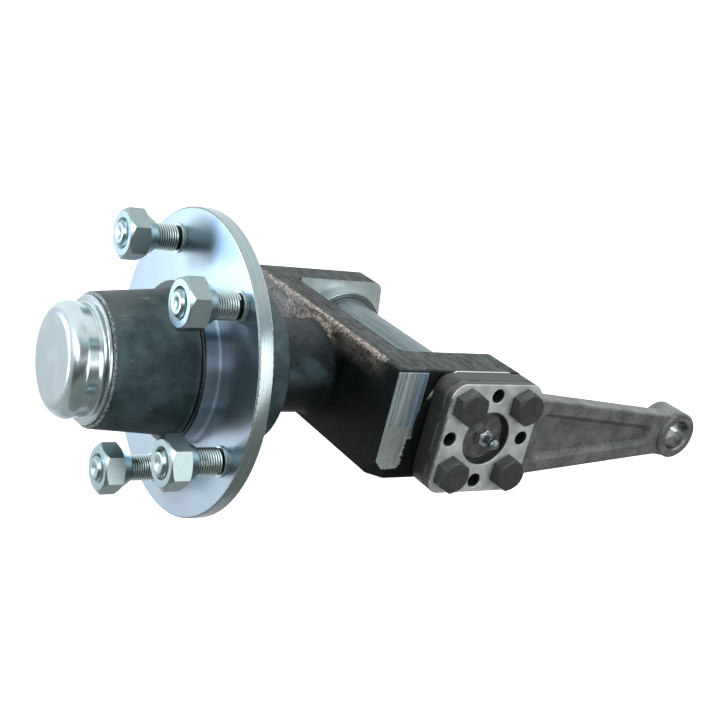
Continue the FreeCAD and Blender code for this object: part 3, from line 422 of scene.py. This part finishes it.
def plate_steel():
    f = Finish("plate_steel")
    cloud = f.noise(9.0, 4.0, 0.6)
    grain = f.noise(0.9, 3.0, 0.6)
    face = f.z.step(106.3, 106.75) * f.facing("Z").step(0.5, 0.8)
    satin = f.mix(cloud.step(0.32, 0.7), (0.50, 0.53, 0.505), (0.70, 0.73, 0.70))
    color = f.mix(face, f.mix(cloud, (0.014, 0.016, 0.016), (0.045, 0.047, 0.045)), satin)
    oil = (f.y + f.noise(4.0, 3.0, 0.6) * 5.0).step(35.2, 36.6)
    color = f.mix(oil * face * 0.85, color, (0.05, 0.055, 0.054))
    # The plate's side at its rounded corner gets a warm brown colour: a painted highlight.
    corner = (1.0 - face) * f.x.step(22.0, 33.0) * f.y.step(22.0, 33.0)
    color = f.mix(corner * cloud.step(0.42, 0.7) * 0.3, color, (0.16, 0.135, 0.115))
    return f.surface(
        color=color, metallic=face * 0.7, roughness=0.44 + cloud * 0.1, normal=f.bump(grain, 0.05))


def bolt_black():
    f = Finish("bolt_black")
    cloud = f.noise(4.0, 3.0, 0.6)
    color = f.mix(cloud.step(0.35, 0.7), (0.052, 0.056, 0.056), (0.072, 0.076, 0.076))
    relief = f.bump(f.noise(0.8), 0.05)
    return f.surface(color=color, metallic=0.4, roughness=0.30 + cloud * 0.08, normal=relief)


# %% [markdown]
# ## Zinc, steel and rubber
# Nuts, studs, cap and shroud are zinc plated. Zinc is bluish and slightly milky, and it copies the steel below,
# so a very fine grain and a small change of roughness are enough. The kingpin's end is dark with old grease.

# %% Plated, ground and small finishes
def plain_metal(name, color, roughness, metallic=1.0):
    """One even metal with a little grain and wear in it."""
    f = Finish(name)
    fine = f.noise(1.6, 3.0, 0.6)
    shade = f.mix(fine.step(0.3, 0.7), tuple(part * 0.86 for part in color), color)
    rough = roughness + (fine - 0.5) * 0.08
    relief = f.bump(f.noise(0.9, 3.0), 0.02)
    return f.surface(color=shade, metallic=metallic, roughness=rough, normal=relief)


def zinc_plate():
    f = Finish("zinc_plate")
    fine = f.noise(1.2, 3.0, 0.6)
    broad = f.noise(13.0, 2.0, 0.5)
    color = f.mix(fine.step(0.3, 0.7), (0.29, 0.365, 0.37), (0.34, 0.415, 0.42))
    shanks = f.y.step(FLANGE_FACE - 0.5, FLANGE_FACE) * f.y.step(164.8, 164.4)
    color = f.mix(shanks, color, (0.58, 0.69, 0.675))
    away = None
    for number in range(5):
        angle = math.radians(STUD_FIRST + STUD_STEP * number)
        across = f.x - STUD_CIRCLE * math.cos(angle)
        along = f.z - STUD_CIRCLE * math.sin(angle)
        from_stud = (across * across + along * along) ** 0.5
        away = from_stud if away is None else away.smaller(from_stud)
    # The thread roots are painted near black: painted shade in the grooves.
    root_shade = shanks * away.step(7.55, 6.9)
    color = f.mix(root_shade, color, (0.035, 0.05, 0.05))
    cap = f.y.step(205.5, 207.0)
    pressed = f.mix(broad.step(0.4, 0.65), (0.54, 0.64, 0.67), (0.60, 0.69, 0.71))
    face = f.mix(broad.step(0.4, 0.65), (0.34, 0.39, 0.405), (0.37, 0.42, 0.435))
    pressed = f.mix(f.facing("Y").step(0.80, 0.97), pressed, face)
    color = f.mix(cap, color, pressed)
    # The grease nipple is painted paler than the zinc around it: a painted highlight.
    grease_and_highlight = f.pin_radius.step(6.2, 5.6) * f.z.step(108.2, 106.8) * f.z.step(100.5, 101.5)
    color = f.mix(grease_and_highlight, color, (0.62, 0.67, 0.68))
    rough = 0.27 - cap * 0.09 + fine * 0.05
    return f.surface(color=color, metallic=1.0, roughness=rough, normal=f.bump(f.noise(0.8, 2.0), 0.006))


def ground_steel():
    f = Finish("ground_steel")
    fine = f.noise(1.0, 3.0, 0.6)
    grease_and_highlight = f.pin_radius.step(17.0, 16.4) * f.z.step(99.0, 100.5)
    cloud = f.noise(5.0, 4.0, 0.65)
    old = f.mix(cloud.step(0.35, 0.7), (0.075, 0.078, 0.076), (0.185, 0.182, 0.172))
    color = f.mix(grease_and_highlight, f.mix(fine, (0.44, 0.45, 0.45), (0.56, 0.57, 0.57)), old)
    return f.surface(
        color=color, metallic=1.0 - grease_and_highlight * 0.7, roughness=0.3 + grease_and_highlight * 0.1, normal=f.bump(fine, 0.01))


def drawn_tube():
    f = Finish("drawn_tube")
    lines = f.noise(2.2, 3.0, 0.6, (1.0, 1.0, 14.0))
    color = f.mix(lines.step(0.3, 0.7), (0.12, 0.165, 0.175), (0.20, 0.25, 0.26))
    return f.surface(color=color, metallic=0.9, roughness=0.36 + lines * 0.06, normal=f.bump(lines, 0.03))


materials = {
    "forging_black": knuckle_forging(),
    "hub_iron": hub_casting(),
    "arm_forging": arm_forging(),
    "plate_steel": plate_steel(),
    "bolt_black": bolt_black(),
    "zinc_plate": zinc_plate(),
    "drawn_tube": drawn_tube(),
    "ground_steel": ground_steel(),
    "spring_steel": plain_metal("spring_steel", (0.2, 0.2, 0.21), 0.35),
    "cage_steel": plain_metal("cage_steel", (0.4, 0.38, 0.34), 0.4),
    "bush_bronze": plain_metal("bush_bronze", (0.55, 0.4, 0.2), 0.4),
    "seal_rubber": plain_metal("seal_rubber", (0.03, 0.03, 0.03), 0.6, 0.0),
}
slots = {part["node"]: part["material_slot"] for part in frame["record"]["subparts"]}
riders = {node: body for body, names in frame["record"]["behaviour"]["bodies"].items() for node in names}
for name, node in nodes.items():
    for index in range(len(node.material_slots)):
        node.material_slots[index].material = materials[slots[name]]
print(len(nodes), "nodes dressed in", len(materials), "finishes")

# %% [markdown]
# ## Tools for new pieces
# A piece that stands for a CAD node takes over its place, its body and its finish. Every new mesh is finished in
# edit mode, so doubled points are merged and its outside faces out before its edges are shaded.

# %% Piece tools
def pick(piece):
    """Makes one object the only selected and active one."""
    bpy.ops.object.select_all(action="DESELECT")
    piece.select_set(True)
    bpy.context.view_layer.objects.active = piece


def tidy_mesh(piece, smooth_deg):
    """Merges doubled points, turns the faces outwards and shades the piece."""
    pick(piece)
    bpy.ops.object.mode_set(mode="EDIT")
    bpy.ops.mesh.select_all(action="SELECT")
    bpy.ops.mesh.remove_doubles(threshold=MERGE_GAP)
    bpy.ops.mesh.normals_make_consistent(inside=False)
    bpy.ops.object.mode_set(mode="OBJECT")
    bpy.ops.object.shade_smooth_by_angle(angle=math.radians(smooth_deg))


def apply(piece, kind, **settings):
    """Adds a modifier with its settings and applies it."""
    modifier = piece.modifiers.new(kind.lower(), kind)
    for key, value in settings.items():
        setattr(modifier, key, value)
    pick(piece)
    bpy.ops.object.modifier_apply(modifier=modifier.name)


def stand_for(piece, node_name):
    """Lets a piece take a CAD node's place, body and finish."""
    piece.data.materials.clear()
    piece.data.materials.append(materials[slots[node_name]])
    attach(piece, riders[node_name])
    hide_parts(node_name)


def drawn_line(name, points):
    """An open line of (radius, y) points in millimetres, drawn by extruding one vertex."""
    bpy.ops.object.select_all(action="DESELECT")
    bpy.ops.mesh.primitive_plane_add(size=MM)
    piece = bpy.context.object
    piece.name = name
    bpy.ops.object.mode_set(mode="EDIT")
    bpy.ops.mesh.select_all(action="SELECT")
    bpy.ops.mesh.merge(type="CENTER")
    here = Vector((0.0, 0.0, 0.0))
    for number, (radius, y) in enumerate(points):
        step = Vector((radius, y, 0.0)) * MM - here
        if number:
            bpy.ops.mesh.extrude_region_move(TRANSFORM_OT_translate={"value": step})
        else:
            bpy.ops.transform.translate(value=step)
        here += step
    bpy.ops.object.mode_set(mode="OBJECT")
    return piece


def softened(node_name, width, segments=2, angle_deg=30.0):
    """A copy of a CAD node whose sharp edges are rounded by width millimetres."""
    piece = bpy.data.objects.new(node_name + "_soft", nodes[node_name].data.copy())
    bpy.context.scene.collection.objects.link(piece)
    pick(piece)
    bpy.ops.object.mode_set(mode="EDIT")
    bpy.ops.mesh.select_all(action="SELECT")
    bpy.ops.mesh.remove_doubles(threshold=MERGE_GAP)
    bpy.ops.mesh.dissolve_limited(angle_limit=math.radians(0.3))
    bpy.ops.object.mode_set(mode="OBJECT")
    apply(
        piece, "BEVEL", width=width * MM, segments=segments, limit_method="ANGLE",
        angle_limit=math.radians(angle_deg), use_clamp_overlap=True)
    tidy_mesh(piece, 32.0)
    apply(piece, "WEIGHTED_NORMAL", keep_sharp=True, weight=100)
    stand_for(piece, node_name)
    return piece


print("piece tools ready")

# %% [markdown]
# ## Wheel studs
# A wheel stud is cold headed and then thread rolled, so its thread is a true helix with rounded crests, standing
# a little above the blank, and a plain collar seats it in the flange. The stud is turned from its outline with a
# spin, and the thread from one tooth with a screw modifier, as a die would wind it. One stud is made and carried
# to the five places.

# %% Turn and thread the studs
THREAD_PITCH = 1.5
THREAD_START = 149.4
THREAD_TURNS = 11
stud_line = [
    (0.0, 134.8), (9.7, 134.8), (10.5, 135.6), (10.5, 138.0), (10.2, 138.3), (8.4, 138.3), (8.4, 147.5),
    (8.8, 147.6), (8.8, 148.4), (8.6, 148.7), (6.6, 148.8), (6.6, 149.8), (6.7, 150.0), (6.7, 180.6),
    (7.5, 181.0), (7.5, 183.4),
    (6.4, 184.5), (6.0, 184.9), (5.4, 185.0), (2.6, 184.8), (1.8, 184.3), (0.0, 184.2),
]
stud = drawn_line("stud_pattern", stud_line)
bpy.ops.object.mode_set(mode="EDIT")
bpy.ops.mesh.select_all(action="SELECT")
bpy.ops.mesh.spin(steps=40, angle=2.0 * math.pi, center=(0.0, 0.0, 0.0), axis=(0.0, 1.0, 0.0))
bpy.ops.object.mode_set(mode="OBJECT")
tidy_mesh(stud, 30.0)
tooth = drawn_line("tooth_pattern", [
    (6.65, THREAD_START), (7.88, THREAD_START + 0.62), (7.95, THREAD_START + 0.75),
    (7.88, THREAD_START + 0.88), (6.65, THREAD_START + THREAD_PITCH),
])
apply(
    tooth, "SCREW", axis="Y", angle=2.0 * math.pi, screw_offset=THREAD_PITCH * MM, iterations=THREAD_TURNS,
    steps=32, render_steps=32, use_merge_vertices=True)
tidy_mesh(tooth, 60.0)
pick(stud)
tooth.select_set(True)
bpy.ops.object.join()
for number in range(1, 6):
    angle = math.radians(STUD_FIRST + STUD_STEP * (number - 1))
    piece = bpy.data.objects.new("wheel_stud_%d_threaded" % number, stud.data.copy())
    bpy.context.scene.collection.objects.link(piece)
    carry = Matrix.Rotation(-angle, 4, "Y") @ Matrix.Translation((STUD_CIRCLE * MM, 0.0, 0.0))
    piece.matrix_world = carry
    pick(piece)
    bpy.ops.object.transform_apply(location=True, rotation=True, scale=True)
    stand_for(piece, "wheel_stud_%d" % number)
bpy.data.objects.remove(stud)
print("five threaded studs")

# %% [markdown]
# ## Soft edges
# Forging, tumbling and plating leave no knife edges. Nuts and bolts lose theirs in the barrel, the plate's holes
# are broken with a file, and a forging has none to begin with. A thin bevel catches the light the way they do.

# %% Soften nuts, bolts, nipple, plate, hub and knuckle
SOFT_EDGES = {"grease_nipple": 0.2, "cap_plate": 0.25, "hub": 0.25, "knuckle": 0.8}
for number in range(1, 6):
    SOFT_EDGES["wheel_nut_%d" % number] = 0.45
for number in range(1, 5):
    SOFT_EDGES["arm_bolt_%d" % number] = 0.4
for node_name, width in SOFT_EDGES.items():
    piece = softened(node_name, width)
    print(piece.name, len(piece.data.polygons), "faces")

# %% [markdown]
# ## White ground
# The photograph stands on white. The floor is a plain matt sheet well below the object, bright enough to look
# white to the camera, and the world is white to the camera only. To mirrors the floor glows instead: a painted
# reflection of lit paper that is brighter towards +X, the photograph's top.

# %% Floor and world
def floor_finish():
    f = Finish("floor_white")
    seen = f.node("ShaderNodeLightPath", {}, [], "Is Camera Ray")
    matt = f.node("ShaderNodeBsdfDiffuse", {}, {"Color": (0.9, 0.9, 0.9, 1.0)})
    glow = f.node("ShaderNodeEmission", {}, {"Color": (1.0, 1.0, 1.0, 1.0), "Strength": 0.72})
    both = f.node("ShaderNodeAddShader", {}, [matt, glow])
    shown = f.node("ShaderNodeMixShader", {}, [seen, matt, both])
    # For mirrors the floor glows with a colour that is paler towards +X: a painted reflection of lit paper.
    mirrored = f.node("ShaderNodeLightPath", {}, [], "Is Glossy Ray")
    lit = f.mix(f.x.step(-1500.0, 200.0), (0.372, 0.392, 0.40), (0.93, 0.98, 1.0))
    mirror_glow = f.node("ShaderNodeEmission", {}, {"Color": lit, "Strength": 1.25})
    f.close(f.node("ShaderNodeMixShader", {}, [mirrored, shown, mirror_glow]))
    return f.material


bpy.ops.object.select_all(action="DESELECT")
bpy.ops.mesh.primitive_plane_add(size=40.0, location=(0.0, 0.0, FLOOR_LEVEL))
floor = bpy.context.object
floor.name = "studio_floor"
floor.data.materials.append(floor_finish())

ROOM_STOPS = [
    (0.00, (0.20, 0.21, 0.20)), (0.22, (0.24, 0.25, 0.24)), (0.36, (0.05, 0.055, 0.055)),
    (0.46, (0.30, 0.27, 0.25)), (0.51, (0.78, 0.86, 0.96)), (0.60, (0.22, 0.19, 0.175)),
    (0.74, (0.52, 0.61, 0.66)), (0.86, (1.00, 1.00, 1.00)), (1.00, (0.60, 0.62, 0.64)),
]
world = bpy.data.worlds.new("studio")
world.use_nodes = True
world_tree = world.node_tree
world_tree.nodes.clear()


def world_node(kind, settings, values):
    """Adds a node to the world, with its settings, values and links."""
    made = world_tree.nodes.new(kind)
    set_up(made, settings)
    for key, value in values.items():
        if isinstance(value, bpy.types.NodeSocket):
            world_tree.links.new(value, made.inputs[key])
        else:
            made.inputs[key].default_value = value
    return made


away = world_node("ShaderNodeTexCoord", {}, {}).outputs["Generated"]
rise = world_node("ShaderNodeVectorMath", {"operation": "DOT_PRODUCT"}, {0: away, 1: (0.92, 0.02, -0.39)})
patches = world_node("ShaderNodeTexNoise", {}, {"Vector": away, "Scale": 2.2, "Detail": 1.0})
waver = world_node(
    "ShaderNodeMath", {"operation": "MULTIPLY_ADD"}, {0: patches.outputs["Fac"], 1: 0.45, 2: -0.225})
height = world_node(
    "ShaderNodeMath", {"operation": "ADD"}, {0: rise.outputs["Value"], 1: waver.outputs[0]})
share = world_node("ShaderNodeMath", {"operation": "MULTIPLY_ADD"}, {0: height.outputs[0], 1: 0.5, 2: 0.5})
ramp = world_node("ShaderNodeValToRGB", {"stops": ROOM_STOPS}, {"Fac": share.outputs[0]})
room = world_node("ShaderNodeBackground", {}, {"Color": ramp.outputs["Color"], "Strength": 1.15})
plain = world_node("ShaderNodeBackground", {}, {"Color": (1.0, 1.0, 1.0, 1.0), "Strength": 1.0})
seen = world_node("ShaderNodeLightPath", {}, {}).outputs["Is Camera Ray"]
choice = world_node(
    "ShaderNodeMixShader", {}, {0: seen, 1: room.outputs[0], 2: plain.outputs[0]})
world_node("ShaderNodeOutputWorld", {}, {"Surface": choice.outputs[0]})
bpy.context.scene.world = world
bpy.context.scene.view_settings.view_transform = "Standard"
print("room of", len(ROOM_STOPS), "bands")
